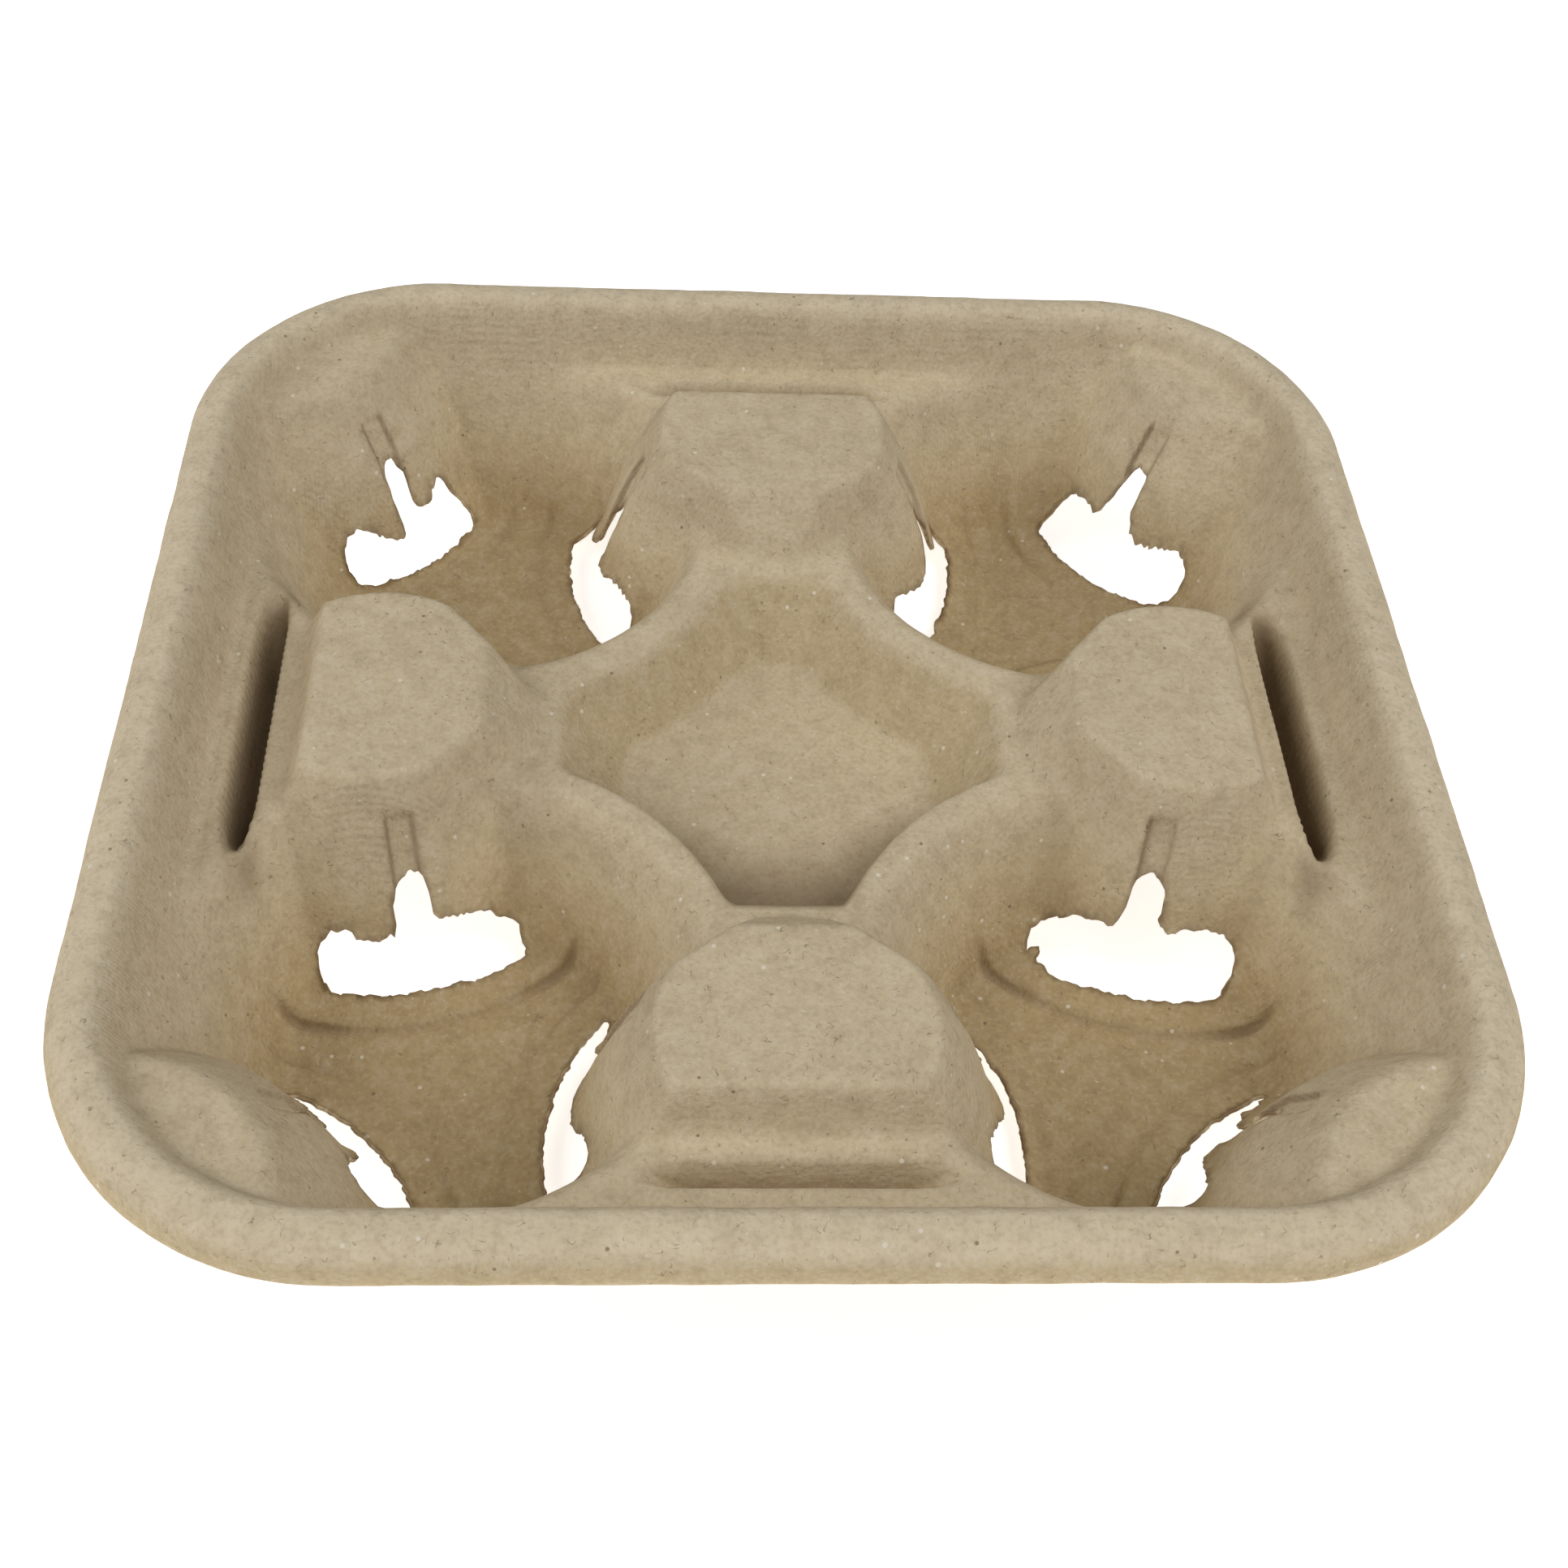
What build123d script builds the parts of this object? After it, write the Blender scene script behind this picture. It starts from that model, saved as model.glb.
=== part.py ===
# Four-cup carrier moulded in one piece from paper pulp.
# The sheet is what lies between an upper and a lower mould face.
# Units are mm, +Z is up, the base rests on z = 0 and the tray is centred on the Z axis.
import os
from math import atan, atan2, cos, degrees, hypot, radians, sin, tan

from build123d import *

# Overall size
side = 210.0
height = 42.2
wall = 2.0
corner_radius = 43.3

# Rim: a rolled outer edge, a flat and a bevelled inner edge, with a short skirt hanging from it
rim_roll = 5.2
rim_roll_slopes = 3
rim_flat = 1.0
rim_inner_bevel = 1.8
rim_width = rim_roll + rim_flat + rim_inner_bevel
rim_fold_bevel = 2.0
skirt_depth = 6.6
skirt_bottom = height - skirt_depth

# Inner wall of the tray, leaning outward from the floor to the brim
floor_top = wall
wall_run = 17.5
wall_brim_half = side / 2 - rim_width
wall_brim_radius = corner_radius - rim_width
wall_foot_half = wall_brim_half - wall_run

# Heights, taken down from the rim one after the other
column_below_rim = 4.2
column_rise = 7.6
shoulder_drop = 12.5
ridge_drop = 2.1
column_top = height - column_below_rim
web_top = column_top - column_rise
ridge_top = web_top - ridge_drop
shoulder_z = column_top - shoulder_drop

# Conical cup wells, which fill what the webs and the edge leave of each side
half_web = 12.4
cup_edge_gap = 12.6
cup_taper = 12.2
web_bevel = 1.8
cup_top_radius = (side / 2 - half_web - cup_edge_gap) / 2
cup_centre = half_web + cup_top_radius
cup_foot_radius = cup_top_radius - cup_taper

# Circles about a cup's axis on which its flaps end and its floor begins
flap_inset = 5.7
floor_inset = 11.4
flap_circle = cup_foot_radius - flap_inset
floor_circle = cup_foot_radius - floor_inset
tip_z = 11.3

# Columns at the middles of the sides
column_from_edge = 39.0
column_flap_run = 4.8
column_slope_run = 7.2
inner_flat_setback = 3.9
inner_slope_run = 10.1
outer_flat_reach = 10.5
outer_slope_run = 3.7
plateau_bevel = 1.6
column_centre = side / 2 - column_from_edge
column_gap = hypot(cup_centre, column_centre - cup_centre)
column_tip_radius = column_gap - flap_circle
column_foot_radius = column_gap - floor_circle
column_shoulder_radius = column_tip_radius - column_flap_run
column_top_radius = column_shoulder_radius - column_slope_run
column_inner_flat = cup_centre - inner_flat_setback
column_saddle = column_inner_flat - inner_slope_run
column_outer_flat = column_centre + outer_flat_reach
column_ledge = column_outer_flat + outer_slope_run

# Blocks in the four corners
corner_from_edge = 11.0
corner_flap_run = 4.4
corner_slope_run = 7.5
corner_above_web = 1.2
corner_kink_clear = 0.2
corner_top_slope = 0.28
corner_bevel = 1.8
corner_centre = side / 2 - corner_from_edge
corner_gap = hypot(corner_centre - cup_centre, corner_centre - cup_centre)
corner_tip_radius = corner_gap - flap_circle - corner_kink_clear
corner_foot_radius = corner_gap - floor_circle - corner_kink_clear
corner_shoulder_radius = corner_tip_radius - corner_flap_run
corner_top_radius = corner_shoulder_radius - corner_slope_run
corner_top_near = web_top + corner_above_web

# Flaps and the holes under them
hole_half_angle = 27.0
corner_hole_from_edge = 17.0
slot_width = 5.0
notch_width = 5.5
notch_depth = 3.0
recess_width = 5.6
recess_depth = 0.8
recess_length = 5.0
recess_below_shoulder = 6.0
corner_hole_centre = side / 2 - corner_hole_from_edge
corner_hole_gap = hypot(corner_hole_centre - cup_centre, corner_hole_centre - cup_centre)
corner_hole_tip = corner_hole_gap - flap_circle
corner_hole_foot = corner_hole_gap - floor_circle
corner_hole_shoulder = corner_hole_tip - corner_flap_run

# Raised strip along every hole
strip_width = 5.6
strip_rise = 0.8
strip_bevel = 1.0

# Pocket in the middle, inside a low ridge
ridge_end = 2.0
ridge_width = 5.4
pocket_depth = 12.5
pocket_side_run = 6.8
pocket_end_gap = 2.1
pocket_end_run = 9.8
ridge_half = column_inner_flat - ridge_end
pocket_floor = ridge_top - pocket_depth
pocket_tip = column_saddle - pocket_end_gap
pocket_tip_floor = pocket_tip - pocket_end_run
pocket_side_radius = cup_top_radius + ridge_width
pocket_side_radius_floor = pocket_side_radius + pocket_side_run

# Groove between a column and the wall
groove_from_edge = 16.2
groove_width = 4.2
groove_depth = 5.6
groove_half_length = 25.0
groove_lean = 0.25
groove_outer = side / 2 - groove_from_edge
groove_inner = groove_outer - groove_width
groove_bottom = web_top - groove_depth

# How far the mould faces run on below the base, and how far cuts reach past what they cut
below = -6.0
clear = 1.0
far = 2 * side


def rounded_prism(half, radius, low, high):
    return Pos(0, 0, low) * extrude(RectangleRounded(2 * half, 2 * half, radius), high - low)


def flared(section, low, high, widen):
    # Outline that grows by widen mm for each mm of height
    return extrude(Plane.XY.offset(low) * section, high - low, taper=-degrees(atan(widen)))


def upright_cone(x, y, low, high, radius_at):
    # Cone about a vertical line, its radius given by a function of height
    cone = Cone(radius_at(low), radius_at(high), high - low)
    return Pos(x, y, (low + high) / 2) * cone


def cup_axes():
    return [(x, y) for x in (-cup_centre, cup_centre) for y in (-cup_centre, cup_centre)]


def rolled_block():
    # Rounded block whose upper outer edge is rolled over in a few slopes
    levels = [radians(90 * step / rim_roll_slopes) for step in range(rim_roll_slopes + 1)]
    layers = []
    for start, end in zip(levels, levels[1:]):
        inward = rim_roll * (1 - cos(start))
        low = height - rim_roll * (1 - sin(start))
        high = height - rim_roll * (1 - sin(end))
        widen = rim_roll * (cos(end) - cos(start)) / (high - low)
        outline = RectangleRounded(side - 2 * inward, side - 2 * inward, corner_radius - inward)
        layers.append(flared(outline, low, high, widen))
    return rounded_prism(side / 2, corner_radius, below, height - rim_roll).fuse(*layers)


def tray_block(inset):
    # Rounded block with a basin sunk into it: the rim, the inner wall and the floor
    widen = (wall_brim_half - wall_foot_half) / (height - floor_top)
    foot = wall_foot_half + inset * (hypot(1, widen) - widen)
    foot_radius = wall_brim_radius - wall_brim_half + foot
    outline = RectangleRounded(2 * foot, 2 * foot, foot_radius)
    basin = flared(outline, floor_top - inset, height + clear, widen)
    if inset:
        block = rounded_prism(side / 2 - inset, corner_radius - inset, below, height - inset)
        return chamfer(rim_edges(block - basin, outer=True), rim_fold_bevel)
    return chamfer(rim_edges(rolled_block() - basin, outer=False), rim_inner_bevel)


def rim_edges(ring, outer):
    # The outer or the inner loop of edges round the top of the rim
    top = ring.faces().sort_by(Axis.Z)[-1]
    return top.outer_wire().edges() if outer else top.inner_wires()[0].edges()


def webs(inset):
    # What is left between the four conical cup wells, lower in the middle of the tray
    top = web_top - inset
    body = rounded_prism(wall_brim_half, wall_brim_radius, below, top)
    body = body - Pos(0, 0, top) * Box(2 * ridge_half, 2 * ridge_half, 2 * (web_top - ridge_top))
    widen = (cup_top_radius - cup_foot_radius) / (web_top - floor_top)

    def cup_radius(z):
        return cup_foot_radius + widen * (z - floor_top) + inset * hypot(1, widen)

    wells = [upright_cone(x, y, below, web_top + clear, cup_radius) for x, y in cup_axes()]
    body = body.cut(*wells, pocket(inset))
    if inset:
        return body
    return chamfer([e for e in body.edges() if is_lip(e)], web_bevel)


def is_lip(edge):
    # Edges where a cup well or the pocket opens through the top of a web
    points = [edge @ t for t in (0, 0.5, 1)]
    level = points[1].Z
    if max(abs(p.Z - level) for p in points) > 0.01:
        return False
    x, y = abs(points[1].X), abs(points[1].Y)
    if abs(level - ridge_top) < 0.01:
        return max(x, y) < ridge_half - 0.01
    on_cup = abs(hypot(x - cup_centre, y - cup_centre) - cup_top_radius) < 0.01
    return abs(level - web_top) < 0.01 and on_cup


def pocket(inset):
    # Pocket in the middle: a flared square with the rounds of the four cups left standing
    run = ridge_top - pocket_floor
    tip_widen = (pocket_tip - pocket_tip_floor) / run
    side_narrow = (pocket_side_radius_floor - pocket_side_radius) / run
    low = pocket_floor - inset
    high = web_top + clear
    half = pocket_tip_floor + inset * (hypot(1, tip_widen) - tip_widen)
    outline = Rectangle(2 * half, 2 * half)

    def side_radius(z):
        here = pocket_side_radius_floor - side_narrow * (z - pocket_floor)
        return here - inset * hypot(1, side_narrow)

    sides = [
        upright_cone(x, y, low - clear, high + clear, side_radius)
        for x, y in cup_axes()
    ]
    return flared(outline, low, high, tip_widen).cut(*sides)


def turned(profile, inset, x, y):
    # Solid of revolution about a vertical axis through (x, y), its outline moved in by inset
    run_out = profile[-1][0] + clear
    right = list(profile) + [(run_out, 2 * below)]
    left = [(-r, z) for r, z in reversed(right)]
    outline = make_face(Polyline(*right, *left, close=True))
    if inset:
        outline = offset(outline, -inset, kind=Kind.INTERSECTION)
    half = Pos(far / 2, far / 2 + below) * Rectangle(far, far)
    section = Plane.XZ * (outline & half)
    return Pos(x, y, 0) * revolve(section, Axis.Z)


def column_cone(inset):
    # Conical body of a column about its own axis, standing at the origin
    profile = [
        (column_top_radius, column_top),
        (column_shoulder_radius, shoulder_z),
        (column_tip_radius, tip_z),
        (column_foot_radius, floor_top + strip_rise),
    ]
    return turned(profile, inset, 0, 0)


def column(inset):
    # Column on the +Y side: cone with a sloped inner face and a stepped outer face
    body = Pos(0, column_centre, 0) * column_cone(inset)
    slope = (column_inner_flat - column_saddle) / (column_top - ridge_top)
    lean = (column_ledge - column_outer_flat) / (column_top - web_top)
    rise = column_top + clear
    inner_shift = inset * hypot(1, slope)
    outer_shift = inset * hypot(1, lean)
    foot = pocket_floor
    inner_cut = [
        (column_inner_flat + slope * clear + inner_shift, rise),
        (column_saddle - slope * (ridge_top - foot) + inner_shift, foot),
        (0, foot),
        (0, rise),
    ]
    ledge = web_top - inset
    outer_cut = [
        (column_outer_flat - lean * clear - outer_shift, rise),
        (column_ledge + lean * inset - outer_shift, ledge),
        (side, ledge),
        (side, rise),
    ]
    for profile in (inner_cut, outer_cut):
        face = Plane.YZ * make_face(Polyline(*profile, close=True))
        body = body - extrude(face, side, both=True)
    if inset:
        return body
    return chamfer(body.faces().sort_by(Axis.Z)[-1].edges(), plateau_bevel)


def corner_block(inset):
    # Conical block standing in the +X +Y corner, its top rising towards the rim
    widen = (corner_shoulder_radius - corner_top_radius) / (corner_top_near - shoulder_z)
    narrow = corner_top_radius / 3
    over = (corner_top_radius - narrow) / widen
    profile = [
        (narrow, corner_top_near + over),
        (corner_shoulder_radius, shoulder_z),
        (corner_tip_radius, tip_z),
        (corner_foot_radius, floor_top + strip_rise),
    ]
    cone = turned(profile, inset, corner_centre, corner_centre)
    near = hypot(corner_centre, corner_centre) - corner_top_radius
    drop = inset * hypot(1, corner_top_slope)
    lid = [
        (near - side, corner_top_near - drop - side * corner_top_slope),
        (near + side, corner_top_near - drop + side * corner_top_slope),
        (near + side, far),
        (near - side, far),
    ]
    face = Plane.XZ * make_face(Polyline(*lid, close=True))
    block = cone - Rot(0, 0, 45) * extrude(face, side, both=True)
    if not inset:
        block = chamfer(block.faces().sort_by(Axis.Z)[-1].edges(), corner_bevel)
    return block & inside_wall()


def inside_wall():
    # Upright prism that ends within the thickness of the rim
    return rounded_prism(wall_brim_half + clear, wall_brim_radius + clear, below, height)


def strips():
    # Raised bands that run along the hole edges on the cup floors
    top = floor_top + strip_rise
    bands = []
    for x, y, radius in (
        (0, column_centre, column_foot_radius),
        (corner_hole_centre, corner_hole_centre, corner_hole_foot),
    ):
        outer = radius + strip_width
        band = turned([(outer, top), (outer + strip_bevel, floor_top)], 0, x, y)
        bands.append(band & inside_wall())
    return bands


def groove(inset):
    # Narrow trough between a column and the wall, its sides and ends sloping
    middle = (groove_inner + groove_outer) / 2
    low = groove_bottom - inset
    grow = inset * hypot(1, groove_lean) - groove_lean * (web_top - low)
    width = groove_outer - groove_inner + 2 * grow
    length = 2 * (groove_half_length + grow)
    return flared(Pos(0, middle) * Rectangle(length, width), low, web_top + clear, groove_lean)


def mould_face(inset):
    # Everything below one face of the sheet
    repeated = [column(inset), corner_block(inset)]
    if not inset:
        repeated += strips()
    trough = groove(inset)
    turns = [Rot(0, 0, 90 * quarter) for quarter in range(4)]
    body = tray_block(inset).fuse(webs(inset), *[turn * piece for turn in turns for piece in repeated])
    return body.cut(*[turn * trough for turn in turns])


def flap_hole(tip, foot, shoulder):
    # Opening under one flap, drawn about the block's axis with the cup along +X
    rise = far * tan(radians(hole_half_angle))
    wedge = make_face(Polyline((0, 0), (far, rise), (far, -rise), close=True))
    outline = (Circle(foot) - Circle(tip)) & wedge
    slot_start = shoulder - clear / 2
    slot_end = tip + clear
    outline += Pos((slot_start + slot_end) / 2, 0) * Rectangle(slot_end - slot_start, slot_width)
    spread = hole_half_angle - degrees(notch_width / 2 / tip)
    for turn in (-spread, spread):
        notch = Rectangle(notch_depth + clear, notch_width)
        outline += Rot(0, 0, turn) * Pos(tip + (clear - notch_depth) / 2, 0) * notch
    return Pos(0, 0, below) * extrude(outline, column_top - below)


def flap_recess(cone, shoulder):
    # Shallow thinned strip above the slot, cut along the flap's face
    start = shoulder - recess_length
    end = shoulder + clear
    low = shoulder_z - recess_below_shoulder
    block = Box(end - start, recess_width, column_top - low)
    return Pos((start + end) / 2, 0, (low + column_top) / 2) * block - cone


def carrier_tray():
    sheet = mould_face(0.0) - mould_face(wall)
    inside = rounded_prism(side / 2 - wall, corner_radius - wall, 2 * below, skirt_bottom)
    around = Pos(0, 0, skirt_bottom / 2 + below) * Box(far, far, skirt_bottom - 2 * below)
    sheet = sheet - (around - inside)
    aim = degrees(atan2(cup_centre - column_centre, cup_centre))
    at_column = Pos(0, column_centre, 0) * Rot(0, 0, aim)
    at_corner = Pos(corner_hole_centre, corner_hole_centre, 0) * Rot(0, 0, 225)
    column_hole = flap_hole(column_tip_radius, column_foot_radius, column_shoulder_radius)
    column_recess = flap_recess(column_cone(recess_depth), column_shoulder_radius)
    corner_hole = flap_hole(corner_hole_tip, corner_hole_foot, corner_hole_shoulder)
    right = [at_column * column_hole, at_column * column_recess]
    left = [mirror(tool, about=Plane.YZ) for tool in right]
    tools = right + left + [at_corner * corner_hole]
    return sheet.cut(*[Rot(0, 0, 90 * quarter) * tool for quarter in range(4) for tool in tools])


if __name__ == "__main__":
    os.makedirs("parts", exist_ok=True)
    tray = carrier_tray()
    print("solids", len(tray.solids()), [round(s.volume) for s in tray.solids()])
    print("size", tray.bounding_box().size)
    tray.label = "carrier_tray"
    export_step(tray, "parts/carrier_tray.step")
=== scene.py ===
# %% [markdown]
# # A cup carrier moulded from paper pulp
# The carrier is one sheet of paper pulp, sucked onto a wire screen while wet and then dried.
# Every edge of such a sheet is soft, its wall is about two millimetres everywhere, and the holes
# under its flaps are torn rather than cut. The imported model is loaded first, and its tray is
# hidden once the sheet is built.

import bpy
import numpy as np
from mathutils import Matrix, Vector, noise
from mathutils.geometry import delaunay_2d_cdt
from mathutils.kdtree import KDTree


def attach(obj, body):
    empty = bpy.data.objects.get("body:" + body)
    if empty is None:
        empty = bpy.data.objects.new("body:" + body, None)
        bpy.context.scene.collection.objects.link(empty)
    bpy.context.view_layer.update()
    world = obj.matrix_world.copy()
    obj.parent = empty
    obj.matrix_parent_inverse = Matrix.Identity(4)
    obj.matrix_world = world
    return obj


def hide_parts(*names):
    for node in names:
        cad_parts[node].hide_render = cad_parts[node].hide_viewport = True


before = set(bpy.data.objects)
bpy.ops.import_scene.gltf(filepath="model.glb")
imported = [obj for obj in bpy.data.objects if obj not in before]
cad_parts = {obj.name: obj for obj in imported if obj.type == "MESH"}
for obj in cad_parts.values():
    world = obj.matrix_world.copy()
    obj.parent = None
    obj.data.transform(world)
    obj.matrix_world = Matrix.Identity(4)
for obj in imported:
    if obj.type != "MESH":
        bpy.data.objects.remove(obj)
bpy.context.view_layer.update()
print("nodes", sorted(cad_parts))

# %% [markdown]
# ## Sizes
# The tray is drawn in millimetres, like the mould it came from, and turned into metres only when
# the mesh is made. It has the same form on all four sides, so one set of sizes serves for each
# column, corner, cup well and groove.

# %% Driving sizes
MM = 0.001
SIDE = 210.0
HEIGHT = 42.2
WALL = 2.0
CORNER_AXIS = 61.7
RIM_ROLL = 5.2
SKIRT_BOTTOM = 35.6
FLOOR_TOP = 2.0
WALL_FOOT = 79.5
WALL_BRIM = 97.0
CUP_AXIS = 52.4
CUP_FOOT = 27.8
CUP_TOP = 40.0
WEB_TOP = 30.4
RIDGE_TOP = 28.3
print("tray", SIDE, "mm square and", HEIGHT, "mm high")

# %% [markdown]
# ## Soft forms from heights
# Seen from above, no part of the upper face hides another, so the face can be written as one
# height for each point of the plan. Each form of the tray, such as the wall or a column, is a
# height of its own, and the forms are joined with a soft maximum or minimum. That rounds every
# valley and edge the way wet pulp rounds them, which sharp solids with added bevels don't.

# %% Blending helpers


def blend_max(a, b, soft):
    near = np.maximum(soft - np.abs(a - b), 0) / soft
    return np.maximum(a, b) + near * near * soft / 4


def blend_min(a, b, soft):
    return -blend_max(-a, -b, soft)


def ease(low, high, value):
    """Goes smoothly from 0 at low to 1 at high, whichever of the two is larger."""
    t = np.clip((value - low) / (high - low), 0, 1)
    return t * t * (3 - 2 * t)


def rounded_square(x, y, half, axis):
    """Distance from a square whose corners are rounded about points at (axis, axis)."""
    across = np.abs(x) - axis
    along = np.abs(y) - axis
    outside = np.hypot(np.maximum(across, 0), np.maximum(along, 0))
    inside = np.minimum(np.maximum(across, along), 0)
    return outside + inside - (half - axis)


print("soft maximum of 1 and 1.5 is", round(float(blend_max(1.0, 1.5, 2.0)), 3))

# %% [markdown]
# ## Basin, cup wells and ridges
# The basin is the floor and the leaning outer wall, up to the rim. The webs between the cups are
# what four cones leave standing, with a flat top that is lower round the centre pocket.

# %% Basin and webs
BASIN_FOOT_SOFT = 7.0
BASIN_BRIM_SOFT = 4.0
WEB_STEP = (44, 52)
WEB_TOP_SOFT = 5.5


def basin(x, y):
    lean = (WALL_BRIM - WALL_FOOT) / (HEIGHT - FLOOR_TOP)
    slope = FLOOR_TOP + rounded_square(x, y, WALL_FOOT, CORNER_AXIS) / lean
    rising = blend_max(slope, FLOOR_TOP, BASIN_FOOT_SOFT)
    return blend_min(rising, HEIGHT, BASIN_BRIM_SOFT)


def cup_distance(x, y):
    return np.hypot(np.abs(x) - CUP_AXIS, np.abs(y) - CUP_AXIS)


def webs(x, y):
    lean = (CUP_TOP - CUP_FOOT) / (WEB_TOP - FLOOR_TOP)
    cone = FLOOR_TOP + (cup_distance(x, y) - CUP_FOOT) / lean
    reach = np.maximum(np.abs(x), np.abs(y))
    top = RIDGE_TOP + (WEB_TOP - RIDGE_TOP) * ease(*WEB_STEP, reach)
    return blend_min(cone, top, WEB_TOP_SOFT)


print("ridge beside the pocket at", round(float(webs(24.0, 24.0)), 2), "mm")

# %% [markdown]
# ## Columns and corner blocks
# A column is a cone whose sides bulge at the shoulder, trimmed by a sloping face towards the
# pocket and a steep one towards the wall, with flat facets where its inner corners are cut off.
# A corner block is a wider cone under an almost flat lid a little below the rim. Each side
# profile is a short list of radius and height, read by interpolation.

# %% Columns and blocks
COLUMN_AXIS = 66.0
COLUMN_TOP = 38.0
COLUMN_INNER_EDGE = 48.5
COLUMN_OUTER_EDGE = 76.2
COLUMN_SADDLE = 38.9
COLUMN_LEDGE = 79.4
COLUMN_SHOULDER_SOFT = 0.9
COLUMN_FACE_SOFT = 1.2
COLUMN_TOP_SOFT = 0.8
FACET_ACROSS = 0.78
FACET_ALONG = 0.625
FACET_REACH = 19.4
FACET_SLOPE = 2.6
COLUMN_PROFILE = [
    (20.6, 38.0), (24.0, 32.0), (27.2, 25.5), (29.8, 18.5), (32.0, 11.3), (34.6, 6.6), (37.7, 2.8),
]
BLOCK_AXIS = 94.0
BLOCK_NEAR = 23.6
BLOCK_TOP = 37.2
BLOCK_SLOPE = 0.02
BLOCK_SOFT = 2.4
BLOCK_PROFILE = [
    (23.6, 37.2), (28.2, 31.0), (32.2, 25.2), (34.6, 18.5), (36.6, 11.3), (39.2, 6.6), (42.2, 2.8),
]


def taper(radius, profile):
    radii = [r for r, z in profile]
    heights = [z for r, z in profile]
    top_slope = (heights[1] - heights[0]) / (radii[1] - radii[0])
    foot_slope = (heights[-1] - heights[-2]) / (radii[-1] - radii[-2])
    level = np.interp(radius, radii, heights)
    above = heights[0] + top_slope * (radius - radii[0])
    beyond = heights[-1] + foot_slope * (radius - radii[-1])
    level = np.where(radius < radii[0], above, level)
    return np.where(radius > radii[-1], beyond, level)


def along_and_across(x, y):
    """Distance along the nearest side and distance out towards it."""
    return np.minimum(np.abs(x), np.abs(y)), np.maximum(np.abs(x), np.abs(y))


def columns(x, y):
    along, across = along_and_across(x, y)
    side_face = taper(np.hypot(along, across - COLUMN_AXIS), COLUMN_PROFILE)
    inner_slope = (COLUMN_TOP - RIDGE_TOP) / (COLUMN_INNER_EDGE - COLUMN_SADDLE)
    outer_slope = (COLUMN_TOP - WEB_TOP) / (COLUMN_LEDGE - COLUMN_OUTER_EDGE)
    inner_face = COLUMN_TOP + (across - COLUMN_INNER_EDGE) * inner_slope
    outer_face = COLUMN_TOP - (across - COLUMN_OUTER_EDGE) * outer_slope
    inward = FACET_ACROSS * (COLUMN_AXIS - across) + FACET_ALONG * along
    facet = COLUMN_TOP - FACET_SLOPE * (inward - FACET_REACH)
    body = blend_min(side_face, facet, COLUMN_SHOULDER_SOFT)
    body = blend_min(body, inner_face, COLUMN_FACE_SOFT)
    body = blend_min(body, outer_face, COLUMN_FACE_SOFT)
    return blend_min(body, COLUMN_TOP, COLUMN_TOP_SOFT)


def corner_blocks(x, y):
    side_x = np.abs(x)
    side_y = np.abs(y)
    side_face = taper(np.hypot(side_x - BLOCK_AXIS, side_y - BLOCK_AXIS), BLOCK_PROFILE)
    outward = (side_x + side_y - 2 * BLOCK_AXIS) / np.sqrt(2) + BLOCK_NEAR
    return blend_min(side_face, BLOCK_TOP + BLOCK_SLOPE * outward, BLOCK_SOFT)


print("column top", round(float(columns(0.0, 64.0)), 2), "mm")

# %% [markdown]
# ## Pocket, grooves and strips
# The pocket in the middle is cut into the webs, and its two front walls are steeper than the
# others. A groove runs between each column and the wall, deepest at the left and right. The
# strips are low bands on the cup floors along the holes. The last function joins all the forms.

# %% Pocket, grooves and strips
POCKET_FLOOR = 15.8
POCKET_TIP = 37.2
POCKET_TIP_FLOOR = 25.4
POCKET_FRONT_FLOOR = 29.6
POCKET_SIDE = 45.4
POCKET_SIDE_FLOOR = 54.4
POCKET_FRONT_STEEP = 5.0
POCKET_FRONT_FULL = -14
POCKET_CORNER_SOFT = 5.0
POCKET_FLOOR_SOFT = 1.2
GROOVE_MIDDLE = 85.7
GROOVE_BOTTOM = 24.4
SIDE_GROOVE_BOTTOM = 19.8
SIDE_GROOVE_LONGER = 3.0
GROOVE_END = (14, 33)
GROOVE_END_RISE = 14.0
GROOVE_PAST = (40, 70)
GROOVE_PAST_RISE = 20.0
GROOVE_FLARE = 0.85
SIDE_GROOVE_FLARE = 0.32
HOLE_AXIS = 88.0
COLUMN_FOOT = 37.7
CORNER_FOOT = 33.9
STRIP_WIDTH = 5.6
STRIP_RISE = 0.8
STRIP_EDGE = 0.9
STRIP_FADE = (5.0, 9.0)
WEB_SOFT = 1.8
COLUMN_SOFT = 3.0
BLOCK_FOOT_SOFT = 2.0
POCKET_SOFT = 2.0
GROOVE_SOFT = 1.8


def pocket(x, y):
    across = along_and_across(x, y)[1]
    deep = RIDGE_TOP - POCKET_FLOOR
    tip_floor = np.where(-y > np.abs(x), POCKET_FRONT_FLOOR, POCKET_TIP_FLOOR)
    tips = POCKET_FLOOR + (across - tip_floor) * deep / (POCKET_TIP - tip_floor)
    side_floor = POCKET_SIDE_FLOOR - POCKET_FRONT_STEEP * ease(0, POCKET_FRONT_FULL, y)
    sides = POCKET_FLOOR + (side_floor - cup_distance(x, y)) * deep / (side_floor - POCKET_SIDE)
    slope = blend_max(tips, sides, POCKET_CORNER_SOFT)
    return blend_max(slope, POCKET_FLOOR, POCKET_FLOOR_SOFT)


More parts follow.
